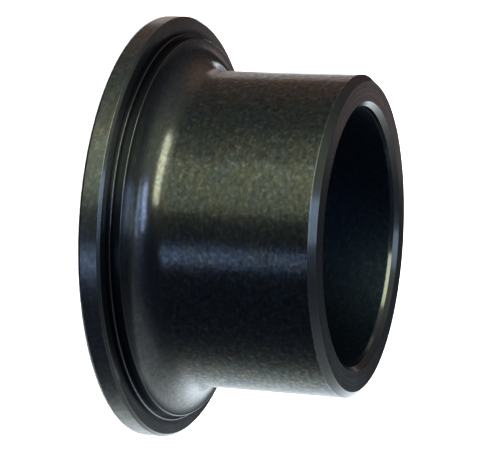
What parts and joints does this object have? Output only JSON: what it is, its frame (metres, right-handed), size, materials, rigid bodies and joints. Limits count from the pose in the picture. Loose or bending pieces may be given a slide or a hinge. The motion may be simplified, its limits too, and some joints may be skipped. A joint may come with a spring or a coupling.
{
  "type": "flanged sleeve bushing",
  "caption": "Flanged sleeve bushing, turned in one piece, with a stepped flange, a hollow root curve and a chamfered through bore.",
  "frame": {"origin": "centre of the flange's back face, on the bore's axis", "axes": "+Z along the bore, from the flange to the nose; X and Y are any two directions across it, because the part is round"},
  "size_m": [0.0668, 0.0668, 0.033],
  "materials": {
    "turned_metal": "fine turned, oiled"
  },
  "bodies": {
    "root": {"flanged_bushing": "turned_metal"}
  },
  "joints": []
}
